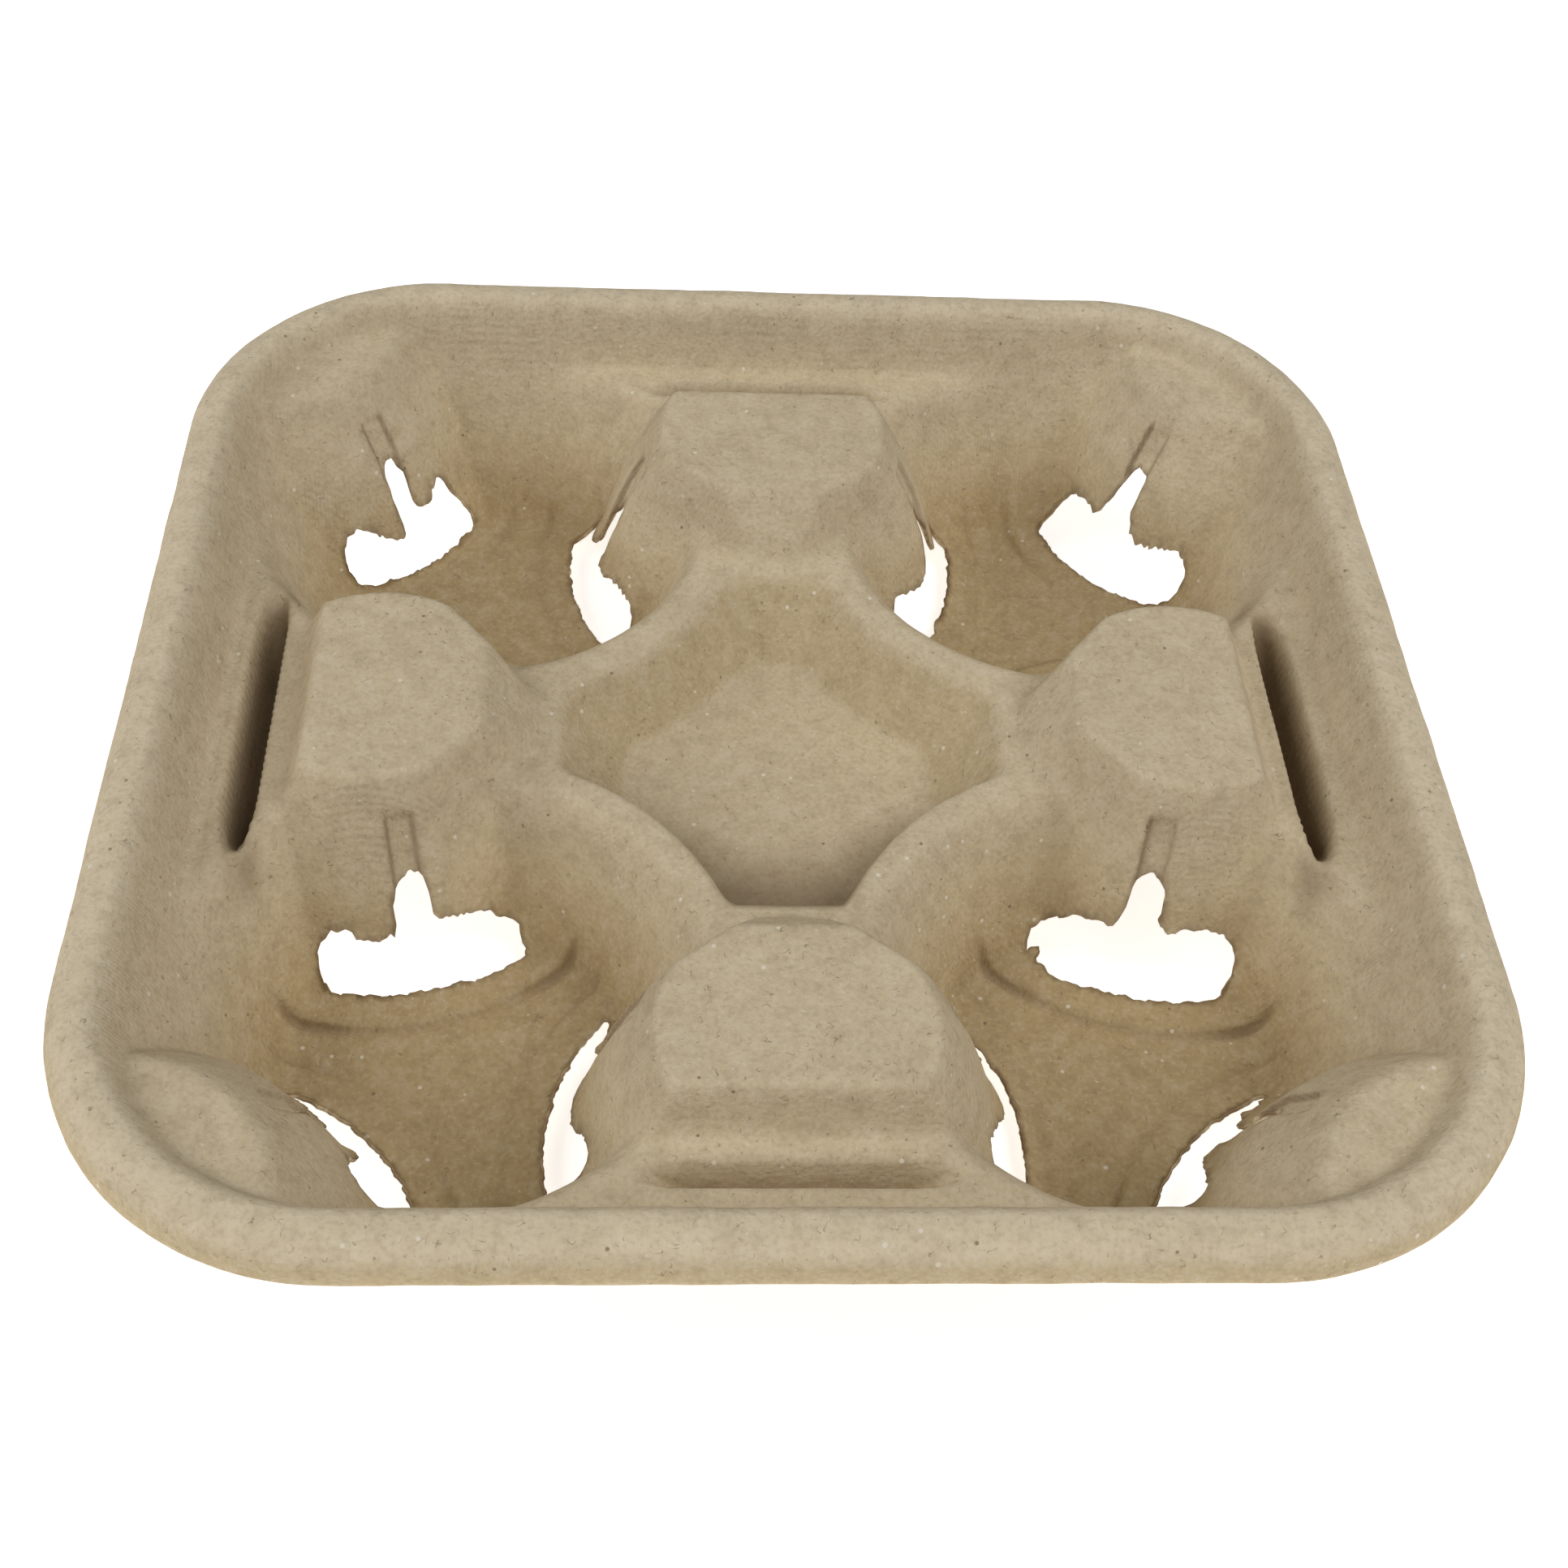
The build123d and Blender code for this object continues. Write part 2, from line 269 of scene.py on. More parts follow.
def grooves(x, y):
    along, across = along_and_across(x, y)
    at_side = np.abs(x) > np.abs(y)
    bed = np.where(at_side, SIDE_GROOVE_BOTTOM, GROOVE_BOTTOM)
    longer = np.where(at_side, SIDE_GROOVE_LONGER, 0.0)
    bed = bed + GROOVE_END_RISE * ease(*GROOVE_END, along - longer)
    bed = bed + GROOVE_PAST_RISE * ease(*GROOVE_PAST, along)
    outward = across - GROOVE_MIDDLE
    flare = np.where(at_side & (outward > 0), SIDE_GROOVE_FLARE, GROOVE_FLARE)
    return bed + flare * np.abs(outward) ** 3


def strips(x, y):
    along, across = along_and_across(x, y)
    by_column = np.hypot(along, across - COLUMN_AXIS) - COLUMN_FOOT - STRIP_WIDTH
    by_corner = np.hypot(np.abs(x) - HOLE_AXIS, np.abs(y) - HOLE_AXIS) - CORNER_FOOT - STRIP_WIDTH
    raised = 1 - ease(-STRIP_EDGE, STRIP_EDGE, np.minimum(by_column, by_corner))
    on_floor = 1 - ease(*STRIP_FADE, webs(x, y))
    return STRIP_RISE * raised * on_floor


def upper_face(x, y):
    level = blend_max(basin(x, y), webs(x, y), WEB_SOFT)
    level = level + strips(x, y)
    level = blend_max(level, columns(x, y), COLUMN_SOFT)
    level = blend_max(level, corner_blocks(x, y), BLOCK_FOOT_SOFT)
    level = blend_min(level, pocket(x, y), POCKET_SOFT)
    return blend_min(level, grooves(x, y), GROOVE_SOFT)


print("pocket floor", round(float(upper_face(0.0, 0.0)), 2), "mm")
print("cup floor", round(float(upper_face(CUP_AXIS, CUP_AXIS)), 2), "mm")

# %% [markdown]
# ## From the plan to the sheet
# The plan runs on past the rim: what lies beyond the start of the roll is wound over the rim and
# down the skirt, so the sheet stays one surface from the pocket to its lowest edge. The second
# face of the sheet is the first one moved along its normals by the wall's thickness.

# %% Sheet mapping
ROLL_START = SIDE / 2 - RIM_ROLL
ROLL_LENGTH = RIM_ROLL * np.pi / 2
PLAN_HALF = ROLL_START + ROLL_LENGTH + HEIGHT - RIM_ROLL - SKIRT_BOTTOM


def sheet(u, v):
    past = np.maximum(rounded_square(u, v, ROLL_START, CORNER_AXIS), 0)
    out_x = np.sign(u) * np.maximum(np.abs(u) - CORNER_AXIS, 0)
    out_y = np.sign(v) * np.maximum(np.abs(v) - CORNER_AXIS, 0)
    length = np.maximum(np.hypot(out_x, out_y), 1e-9)
    bend = np.minimum(past / RIM_ROLL, np.pi / 2)
    pull = (RIM_ROLL * np.sin(bend) - past) / length
    drop = RIM_ROLL * (1 - np.cos(bend)) + np.maximum(past - ROLL_LENGTH, 0)
    level = np.where(past > 0, HEIGHT - drop, upper_face(u, v))
    return np.stack([u + out_x * pull, v + out_y * pull, level], axis=-1)


def sheet_normals(u, v, step=0.05):
    along_u = sheet(u + step, v) - sheet(u - step, v)
    along_v = sheet(u, v + step) - sheet(u, v - step)
    normal = np.cross(along_u, along_v)
    return normal / np.linalg.norm(normal, axis=-1, keepdims=True)


print("plan reaches", round(PLAN_HALF, 2), "mm from the middle")

# %% [markdown]
# ## Torn holes
# Each cup is gripped by flaps that hang over a torn hole. A hole is drawn round the axis of its
# column or corner: an arc along the cup floor, then the flap's edge with its slot and its two
# notches, as pairs of an angle from the flap's middle and a radius. No two are torn alike.

# %% Hole outlines
PLAIN_COLUMN_FLAP = [
    (28, 34.5), (29, 32.5), (25, 30.5), (18, 30.5), (14, 32), (5, 32.2), (4.5, 28.2),
    (-4.5, 28.2), (-5, 32.2), (-14, 32), (-18, 30.5), (-25, 30.5), (-29, 32.5), (-28, 34.5),
]
FRONT_LEFT_AT_LEFT = [
    (29, 33), (26, 31.8), (15, 31.2), (9, 31.5), (4, 31.2), (4, 29.7), (3, 28.4), (-2.5, 28.3),
    (-6, 29), (-7.5, 30.5), (-6, 31.6), (-13.5, 32.4), (-18.5, 31.7), (-29, 31.9), (-29.5, 34.4),
]
FRONT_RIGHT_AT_RIGHT = [
    (28.5, 35.8), (31.5, 33), (27, 31.6), (18.5, 31), (12, 31.5), (5, 30.9), (7, 30.2), (5.5, 28.1),
    (0, 28.1), (-4.5, 28.6), (-4.5, 30.9), (-9, 31.7), (-14.5, 31.5), (-20, 31), (-27.5, 31.8), (-29, 34.9),
    (-26.5, 37), (-26.4, 34.2), (-24.1, 34.4), (-23.8, 37.2), (-21.2, 36.7),
]
FRONT_LEFT_AT_FRONT = [
    (29, 34), (30, 31), (24, 30.8), (17, 32), (12, 33.2), (6, 33.5), (1, 33.2), (-2, 32), (-3, 29),
    (-8, 28.6), (-9, 31), (-9.5, 33), (-14, 33.6), (-20, 35), (-26, 36.2),
]
FRONT_RIGHT_AT_FRONT = [
    (26, 36.8), (20, 36.4), (14, 36), (10, 34.8), (8.5, 33), (8, 29), (3, 28.8), (2, 33), (-4.5, 34.8),
    (-9, 34), (-13.5, 32.4), (-20, 31), (-29, 29.8), (-30, 33),
]
BACK_LEFT_AT_BACK = [
    (22, 35), (24, 32.5), (17, 31.6), (9, 32.5), (3, 33.2), (-3.5, 33), (-2, 31), (-3, 28.6), (-9, 28.4),
    (-11, 31), (-13, 33.5), (-19.5, 33.9), (-21, 32), (-26, 33.5),
]
BACK_RIGHT_AT_BACK = [
    (26, 33), (20, 32.2), (15, 33), (10, 32.5), (9, 28.4), (2, 28.4), (1, 31), (-5, 32.2), (-11, 32.3),
    (-16, 31.5), (-20, 30.3), (-24, 30.2), (-27, 32),
]
FRONT_LEFT_CORNER = [
    (26, 33), (20, 32.2), (14, 30.8), (8, 29.5), (4, 29), (3.5, 24), (-3.5, 24), (-4, 29.8), (-9, 29.6),
    (-12, 27.8), (-17, 26.8), (-28, 26.3), (-29, 29),
]
FRONT_RIGHT_CORNER = [
    (27, 32), (28, 28.5), (22, 27.8), (17, 28.8), (11.5, 29.8), (6, 30.2), (2, 29.6), (3, 27), (4, 24),
    (-3, 24), (-3.5, 27), (-6, 29.5), (-12, 30.5), (-15, 32.2), (-17.5, 31), (-21, 31.4),
    (-22.5, 33), (-24, 32.5),
]
BACK_LEFT_CORNER = [
    (26, 32), (24.5, 30.2), (22, 27.5), (15, 27.4), (9.5, 28), (3.5, 27.4), (3.5, 25.6), (1, 23.9),
    (-5, 24.4), (-6, 25.6), (-4, 28.7), (-9, 29.4), (-16, 28.3), (-23, 27.6), (-29, 28.6), (-30, 31),
]
BACK_RIGHT_CORNER = [
    (31, 32.6), (33, 29.9), (30, 28.4), (24, 28.1), (15.5, 28.3), (4, 27.6), (5, 24.3), (0, 23.3),
    (-4.5, 24.4), (-6, 26.2), (-10, 27.8), (-17.5, 27.9), (-25.5, 28.1), (-29, 30.1),
]
LEFT_COLUMN = (-COLUMN_AXIS, 0)
RIGHT_COLUMN = (COLUMN_AXIS, 0)
FRONT_COLUMN = (0, -COLUMN_AXIS)
BACK_COLUMN = (0, COLUMN_AXIS)
FRONT_LEFT = np.array((-1, -1))
FRONT_RIGHT = np.array((1, -1))
BACK_RIGHT = np.array((1, 1))
BACK_LEFT = np.array((-1, 1))
HOLES = [
    ("front_left_at_left", LEFT_COLUMN, FRONT_LEFT * CUP_AXIS, 37.5, (-26, 26), FRONT_LEFT_AT_LEFT),
    ("front_left_at_front", FRONT_COLUMN, FRONT_LEFT * CUP_AXIS, 37.6, (-27, 28), FRONT_LEFT_AT_FRONT),
    ("front_right_at_front", FRONT_COLUMN, FRONT_RIGHT * CUP_AXIS, 37.4, (-26, 27), FRONT_RIGHT_AT_FRONT),
    ("front_right_at_right", RIGHT_COLUMN, FRONT_RIGHT * CUP_AXIS, 37.9, (-19.5, 25), FRONT_RIGHT_AT_RIGHT),
    ("back_right_at_right", RIGHT_COLUMN, BACK_RIGHT * CUP_AXIS, 37.7, (-26, 26), PLAIN_COLUMN_FLAP),
    ("back_right_at_back", BACK_COLUMN, BACK_RIGHT * CUP_AXIS, 36.6, (-24, 24), BACK_RIGHT_AT_BACK),
    ("back_left_at_back", BACK_COLUMN, BACK_LEFT * CUP_AXIS, 38.3, (-24, 21), BACK_LEFT_AT_BACK),
    ("back_left_at_left", LEFT_COLUMN, BACK_LEFT * CUP_AXIS, 37.7, (-26, 26), PLAIN_COLUMN_FLAP),
    ("front_left_corner", FRONT_LEFT * HOLE_AXIS,
     FRONT_LEFT * CUP_AXIS, 34.0, (-26, 24), FRONT_LEFT_CORNER),
    ("front_right_corner", FRONT_RIGHT * HOLE_AXIS,
     FRONT_RIGHT * CUP_AXIS, 34.0, (-27, 25), FRONT_RIGHT_CORNER),
    ("back_right_corner", BACK_RIGHT * HOLE_AXIS,
     BACK_RIGHT * CUP_AXIS, 34.1, (-28, 24), BACK_RIGHT_CORNER),
    ("back_left_corner", BACK_LEFT * HOLE_AXIS,
     BACK_LEFT * CUP_AXIS, 33.2, (-26, 24), BACK_LEFT_CORNER),
]
EDGE_STEP = 0.6
FOOT_POINTS = 14
CORNER_CUT = 0.25
RAGGED = 0.28
WIDE_TEAR = 0.45
WIDE_TEAR_SHARE = 1.4
WIDE_TEAR_SEED = 3.1
FINE_TEAR = 1.6
FINE_TEAR_SEED = 8.7
SECOND_LAYER = 20


def resample(points, step):
    """Closed outline with a point about every step along it."""
    loop = np.vstack([points, points[:1]])
    run = np.concatenate([[0], np.cumsum(np.hypot(*np.diff(loop, axis=0).T))])
    at = np.linspace(0, run[-1], int(run[-1] / step), endpoint=False)
    return np.stack([np.interp(at, run, loop[:, 0]), np.interp(at, run, loop[:, 1])], axis=-1)


def cut_corners(points):
    following = np.roll(points, -1, axis=0)
    leaving = (1 - CORNER_CUT) * points + CORNER_CUT * following
    arriving = CORNER_CUT * points + (1 - CORNER_CUT) * following
    pairs = np.stack([leaving, arriving], axis=1)
    return pairs.reshape(-1, 2)


def torn_outline(axis, cup, foot, span, flap):
    middle = np.arctan2(cup[1] - axis[1], cup[0] - axis[0])
    polar = [(a, foot) for a in np.linspace(*span, FOOT_POINTS)] + flap
    angle = middle + np.radians([a for a, r in polar])
    radius = np.array([r for a, r in polar])
    outline = np.stack([axis[0] + radius * np.cos(angle), axis[1] + radius * np.sin(angle)], axis=-1)
    outline = resample(cut_corners(outline), EDGE_STEP)
    return np.array([tear(x, y) for x, y in outline])


def wander(x, y, layer):
    """How far a tear strays: a wide wave and a fine one, the same in every session."""
    wide = noise.noise(Vector((x * WIDE_TEAR, y * WIDE_TEAR, WIDE_TEAR_SEED + layer)))
    fine = noise.noise(Vector((x * FINE_TEAR, y * FINE_TEAR, FINE_TEAR_SEED + layer)))
    return RAGGED * (WIDE_TEAR_SHARE * wide + fine)


def tear(x, y):
    return x + wander(x, y, 0), y + wander(x, y, SECOND_LAYER)


hole_loops = [torn_outline(*hole[1:]) for hole in HOLES]
print(len(hole_loops), "holes with", sum(len(loop) for loop in hole_loops), "edge points")

# %% [markdown]
# ## Marks of the mould
# Above each slot the mould has pressed a narrow strip into the flap, so that the flap gives way
# when a cup is pushed in. A crease runs along the foot of each strip on the floor, deepest at its
# two ends. Both are depths, pushed in along the normal, and painted shade lines run along their edges.

# %% Pressed marks
MARK_WIDTH = 4.2
MARK_DEPTH = 0.9
MARK_ABOVE = (4.5, 4.1)
MARK_BELOW = (2.0, 1.0)
MARK_WALL = 0.2
MARK_REACH = 60
LINE_WIDTH = 0.35
LINE_FAINT_SHADE = 0.5
LINE_STRONG_SHADE = 0.9
SLOT_REACH = 11
SLOT_END = 0.8
CREASE_BEYOND = 6.1
CREASE_WIDTH = 0.8
CREASE_FADE = (36, 31)
CREASE_ENDS = (14, 27)
CREASE_DEPTH = 0.25
CREASE_END_DEPTH = 0.45
CREASE_SHADE = 0.22
CREASE_END_SHADE = 0.40
CREASE_AT_SIDES = 1.0
CREASE_ELSEWHERE = 0.4


def polar_about(axis, cup, x, y):
    """Angle in degrees from the flap's middle and distance from its axis."""
    middle = np.arctan2(cup[1] - axis[1], cup[0] - axis[0])
    angle = np.degrees(np.arctan2(y - axis[1], x - axis[0]) - middle)
    return (angle + 180) % 360 - 180, np.hypot(x - axis[0], y - axis[1])


def slot_of(flap):
    """Middle angle and top radius of the slot, from the points of its upper end."""
    top = min(r for a, r in flap if abs(a) < SLOT_REACH)
    ends = [a for a, r in flap if abs(a) < SLOT_REACH and r < top + SLOT_END]
    return sum(ends) / len(ends), top


def pressed_marks(x, y):
    """Depth of the marks, and the strength of the painted shade along their lines."""
    depth = np.zeros(len(x))
    shade = np.zeros(len(x))
    for name, axis, cup, foot, span, flap in HOLES:
        angle, radius = polar_about(axis, cup, x, y)
        turned = np.abs(angle)
        middle, top = slot_of(flap)
        aside = radius * np.sin(np.radians(angle - middle))
        off_edge = np.abs(aside) - MARK_WIDTH / 2
        in_strip = ease(top - MARK_ABOVE[0], top - MARK_ABOVE[1], radius)
        in_strip = in_strip * ease(top + MARK_BELOW[0], top + MARK_BELOW[1], radius)
        in_strip = in_strip * (turned < MARK_REACH)
        depth += MARK_DEPTH * in_strip * ease(MARK_WALL, -MARK_WALL, off_edge)
        # Painted shade along the two sides of the strip, stronger on one side.
        line = np.where(aside > 0, LINE_FAINT_SHADE, LINE_STRONG_SHADE)
        shade += line * in_strip * np.exp(-((off_edge / LINE_WIDTH) ** 2))
        ends = ease(*CREASE_ENDS, turned)
        off_crease = (radius - foot - CREASE_BEYOND) / CREASE_WIDTH
        crease = np.exp(-(off_crease ** 2)) * ease(*CREASE_FADE, turned)
        strength = CREASE_AT_SIDES if axis[1] == 0 else CREASE_ELSEWHERE
        depth += strength * crease * (CREASE_DEPTH + CREASE_END_DEPTH * ends)
        # Painted shade along the crease, strongest at its two ends.
        shade += strength * crease * (CREASE_SHADE + CREASE_END_SHADE * ends)
    return depth, np.minimum(shade, 1)


print("slot of the first flap", slot_of(HOLES[0][5]))

# %% [markdown]
# ## Triangulating the plan
# A constrained Delaunay triangulation takes scattered points and the outlines, and keeps every
# outline as an edge of the mesh. So the upper face can have fine triangles, finest along the
# pressed marks, and the hidden face coarse ones, while both share the same torn edges.

# %% Plan triangulation
UPPER_SPACING = 0.95
LOWER_SPACING = 2.2
FINE_SPACING = 0.38
RIM_STEP = 1.5
RIM_CLEAR = 0.4
EDGE_CLEAR = 0.45
EDGE_CLEAR_MOST = 1.2
MARK_SEEN = 0.12
MERGE = 1e-6


def outline_ring(half, step):
    radius = half - CORNER_AXIS
    ring = []
    for quarter in range(4):
        for turn in np.linspace(0, np.pi / 2, int(radius * np.pi / 2 / step)):
            angle = turn + quarter * np.pi / 2
            sign_x = 1 if quarter in (0, 3) else -1
            sign_y = 1 if quarter in (0, 1) else -1
            ring_x = sign_x * CORNER_AXIS + radius * np.cos(angle)
            ring_y = sign_y * CORNER_AXIS + radius * np.sin(angle)
            ring.append((ring_x, ring_y))
    return resample(np.array(ring), step)


def inside(points, loop):
    """True for each point that lies inside the closed loop."""
    found = np.zeros(len(points), bool)
    low = loop.min(axis=0)
    high = loop.max(axis=0)
    near = np.all((points > low) & (points < high), axis=1)
    x, y = points[near].T
    hits = np.zeros(len(x), bool)
    for (x0, y0), (x1, y1) in zip(loop, np.roll(loop, -1, axis=0)):
        if y0 != y1:
            crosses = (y0 > y) != (y1 > y)
            hits ^= crosses & (x < (x1 - x0) * (y - y0) / (y1 - y0) + x0)
    found[near] = hits
    return found


def distance_to(points, tree):
    return np.array([tree.find((x, y, 0))[2] for x, y in points])


def tree_of(points):
    tree = KDTree(len(points))
    for index, (x, y) in enumerate(points):
        tree.insert((x, y, 0), index)
    tree.balance()
    return tree


rim_loop = outline_ring(PLAN_HALF, RIM_STEP)
loops = [rim_loop] + hole_loops
edge_tree = tree_of(np.vstack(loops))


def scattered(spacing):
    reach = np.arange(-PLAN_HALF, PLAN_HALF, spacing)
    rows = np.arange(-PLAN_HALF, PLAN_HALF, spacing * np.sqrt(3) / 2)
    shift = spacing / 2 * (np.arange(len(rows)) % 2)
    grid_x = reach[None, :] + shift[:, None]
    grid_y = np.repeat(rows[:, None], len(reach), axis=1)
    points = np.stack([grid_x, grid_y], axis=-1).reshape(-1, 2)
    past = rounded_square(points[:, 0], points[:, 1], PLAN_HALF, CORNER_AXIS)
    kept = past < -RIM_CLEAR * spacing
    for loop in hole_loops:
        kept &= ~inside(points, loop)
    points = points[kept]
    return points[distance_to(points, edge_tree) > EDGE_CLEAR * min(spacing, EDGE_CLEAR_MOST)]


def triangulate(spacing, fine):
    free = scattered(spacing)
    if fine:
        small = scattered(fine)
        near = np.maximum(*pressed_marks(*small.T)) > MARK_SEEN
        keep = np.maximum(*pressed_marks(*free.T)) <= MARK_SEEN
        free = np.vstack([free[keep], small[near]])
    points = np.vstack(loops + [free])
    edges = []
    start = 0
    for loop in loops:
        edges += [(start + i, start + (i + 1) % len(loop)) for i in range(len(loop))]
        start += len(loop)
    made = delaunay_2d_cdt([Vector(p) for p in points], edges, [], 0, MERGE)
    plan = np.array([(p.x, p.y) for p in made[0]])
    faces = np.array(made[2])
    centres = plan[faces].mean(axis=1)
    kept = inside(centres, rim_loop)
    for loop in hole_loops:
        kept &= ~inside(centres, loop)
    return plan, faces[kept], start


upper_plan, upper_faces, edge_count = triangulate(UPPER_SPACING, FINE_SPACING)
lower_plan, lower_faces, lower_edge_count = triangulate(LOWER_SPACING, None)
print("upper", len(upper_faces), "lower", len(lower_faces), "edge points", edge_count, lower_edge_count)

# %% [markdown]
# ## The sheet as a mesh
# Both faces are lifted from the plan, and the strip between them closes the rim and the tears.
# Near a tear the wall grows thin, because fibres have pulled out of it there. A slow noise moves
# the whole sheet by a tenth of a millimetre or so, since no two trays dry in quite the same form.

# %% Build the mesh
SWELL = 0.14
SLOW_SWELL = 0.09
SLOW_SWELL_SEED = 1.7
QUICK_SWELL = 0.3
QUICK_SWELL_SEED = 5.2
QUICK_SWELL_SHARE = 0.5
TORN_WALL = 0.7
TORN_WALL_REACH = 3.0


def swell(x, y):
    slow = noise.noise(Vector((x * SLOW_SWELL, y * SLOW_SWELL, SLOW_SWELL_SEED)))
    quick = noise.noise(Vector((x * QUICK_SWELL, y * QUICK_SWELL, QUICK_SWELL_SEED)))
    return slow + QUICK_SWELL_SHARE * quick


def lifted(plan, depth):
    u, v = plan.T
    marks = pressed_marks(u, v)[0]
    uneven = np.array([swell(x, y) for x, y in plan])
    outward = SWELL * uneven - marks - depth
    return sheet(u, v) + sheet_normals(u, v) * outward[:, None]


hole_tree = tree_of(np.vstack(hole_loops))
upper_gap = distance_to(upper_plan, hole_tree)
lower_gap = distance_to(lower_plan, hole_tree)
upper = lifted(upper_plan, np.zeros(len(upper_plan)))
lower = lifted(lower_plan, TORN_WALL + (WALL - TORN_WALL) * ease(0, TORN_WALL_REACH, lower_gap))
lower[:, 2] = np.maximum(lower[:, 2], 0)
middle = (upper[:edge_count] + lower[:edge_count]) / 2
vertices = np.vstack([upper, lower, middle])
first_lower = len(upper)
first_middle = first_lower + len(lower)
faces = upper_faces.tolist() + (lower_faces[:, ::-1] + first_lower).tolist()
start = 0
for loop in loops:
    count = len(loop)
    for i in range(count):
        a = start + i
        b = start + (i + 1) % count
        faces.append((a, first_middle + a, first_middle + b, b))
        faces.append((first_middle + a, first_lower + a, first_lower + b, first_middle + b))
    start += count
mesh = bpy.data.meshes.new("pulp_sheet")
mesh.from_pydata((vertices * MM).tolist(), [], faces)
mesh.validate()
mesh.shade_smooth()
tray = bpy.data.objects.new("pulp_sheet", mesh)
bpy.context.collection.objects.link(tray)
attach(tray, "root")
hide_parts("carrier_tray")
print("sheet has", len(mesh.vertices), "points and", sum(len(f) - 2 for f in faces), "triangles")

# %% [markdown]
# ## Values kept on the points
# Some of the tray's looks depend on its form: the hollows and the creases get painted shade,
# the tears are darker, and the rim is paler on top. Such numbers are worked out here from the
# heights and kept on the mesh's points, where the material can read them by name.

# %% Point values
AROUND_REACH = 8
AROUND_TURNS = 12
SUNK = (1.5, 6.5)
SUNK_SHADE = 0.4
LOW_SHADE = (24, 4)
POCKET_EDGE = (45.5, 47.5)
POCKET_END = (37.5, 35.5)
POCKET_FLOOR_SHADE = 0.14
POCKET_WALL_SHADE = 0.4
POCKET_WALL_FOOT = (POCKET_FLOOR + 0.2, POCKET_FLOOR + 1.6)
POCKET_WALL_TOP = (28.3, 26.0)
SKIRT_SHADE = 0.6
SKIRT_START = (3.0, 7.5)
UNDER_SHADE = 0.6


def hollow_shade_of(plan):
    """Strength of the painted shade: near 1 on the cup floors and where the surroundings stand higher, and 0
    on tops.
    """
    u, v = plan.T
    level = sheet(u, v)[:, 2]
    around = np.zeros(len(plan))
    for turn in np.arange(AROUND_TURNS) * 2 * np.pi / AROUND_TURNS:
        beside = sheet(u + AROUND_REACH * np.cos(turn), v + AROUND_REACH * np.sin(turn))
        around += beside[:, 2] / AROUND_TURNS
    hollow_shade = np.maximum(SUNK_SHADE * ease(*SUNK, around - level), ease(*LOW_SHADE, level))
    in_pocket = ease(*POCKET_EDGE, cup_distance(u, v)) * ease(*POCKET_END, along_and_across(u, v)[1])
    on_wall = ease(*POCKET_WALL_FOOT, level) * ease(*POCKET_WALL_TOP, level)
    hollow_shade = hollow_shade + in_pocket * (POCKET_FLOOR_SHADE + POCKET_WALL_SHADE * on_wall - hollow_shade)
    past = rounded_square(u, v, ROLL_START, CORNER_AXIS)
    # Painted shade on the skirt below the roll.
    return np.maximum(hollow_shade, SKIRT_SHADE * ease(*SKIRT_START, past))


def keep_on_points(name, upper_values, lower_values, edge_values):
    values = np.concatenate([upper_values, lower_values, edge_values]).astype(np.float32)
    mesh.attributes.new(name, "FLOAT", "POINT").data.foreach_set("value", values)


under = np.zeros(len(lower))
at_edge = np.zeros(edge_count)
hollow_shade = hollow_shade_of(upper_plan)
# The underside and the edges get a fixed painted shade.
keep_on_points("painted_hollow_shade", hollow_shade, under + UNDER_SHADE, at_edge + UNDER_SHADE)
print("brown from", round(float(hollow_shade.min()), 2), "to", round(float(hollow_shade.max()), 2))

# %% [markdown]
# ## Dark places
# Light hardly reaches the front end of the pocket, behind its ridge, or the bottom of the grooves.
# A little paint in such places helps the lamps, as on a stage model. The sheet is darker
# along the tears. The paler rim top and the steep faces are found from the sheet.

# %% Dark, torn, rim top and steep points
SHADE_EDGE = (45.6, 47.0)
SHADE_FRONT = (-38.5, -37.0)
SHADE_SIDES = (32.0, 26.0)
BY_RIDGE = 0.5
BY_RIDGE_REACH = (60.0, 51.0)
BY_RIDGE_START = (-2.0, -18.0)
BY_TIP = 0.75
BY_TIP_START = (-13.0, -27.0)
BY_TIP_SIDES = (22.0, 10.0)
GROOVE_DARK = 0.25
SIDE_GROOVE_DARK = 0.95
GROOVE_DARK_HEIGHT = (32.0, 25.0)
GROOVE_DARK_WIDTH = (4.6, 1.6)
GROOVE_DARK_END = (36, 28)
TORN_DARK = 0.55
TORN_REACH = (0.05, 0.7)
RIM_TOP_HEIGHT = (38.5, 41.8)
STEEPNESS = (0.12, 0.45)


def pocket_shade(u, v):
    """The front end of the pocket, behind its ridge."""
    from_cup = cup_distance(u, v)
    in_front = ease(*SHADE_EDGE, from_cup) * ease(*SHADE_FRONT, v) * ease(*SHADE_SIDES, np.abs(u))
    by_ridge = BY_RIDGE * ease(*BY_RIDGE_REACH, from_cup) * ease(*BY_RIDGE_START, v)
    by_tip = BY_TIP * ease(*BY_TIP_START, v) * ease(*BY_TIP_SIDES, np.abs(u))
    return in_front * np.maximum(by_ridge, by_tip)


def groove_shade(u, v):
    along, across = along_and_across(u, v)
    low = ease(*GROOVE_DARK_HEIGHT, sheet(u, v)[:, 2])
    shade = low * ease(*GROOVE_DARK_WIDTH, np.abs(across - GROOVE_MIDDLE))
    strength = np.where(np.abs(u) > np.abs(v), SIDE_GROOVE_DARK, GROOVE_DARK)
    return strength * shade * ease(*GROOVE_DARK_END, along)


def torn_shade(gap):
    return TORN_DARK * (1 - ease(*TORN_REACH, gap))


def steepness(plan):
    return ease(*STEEPNESS, 1 - sheet_normals(*plan.T)[:, 2])


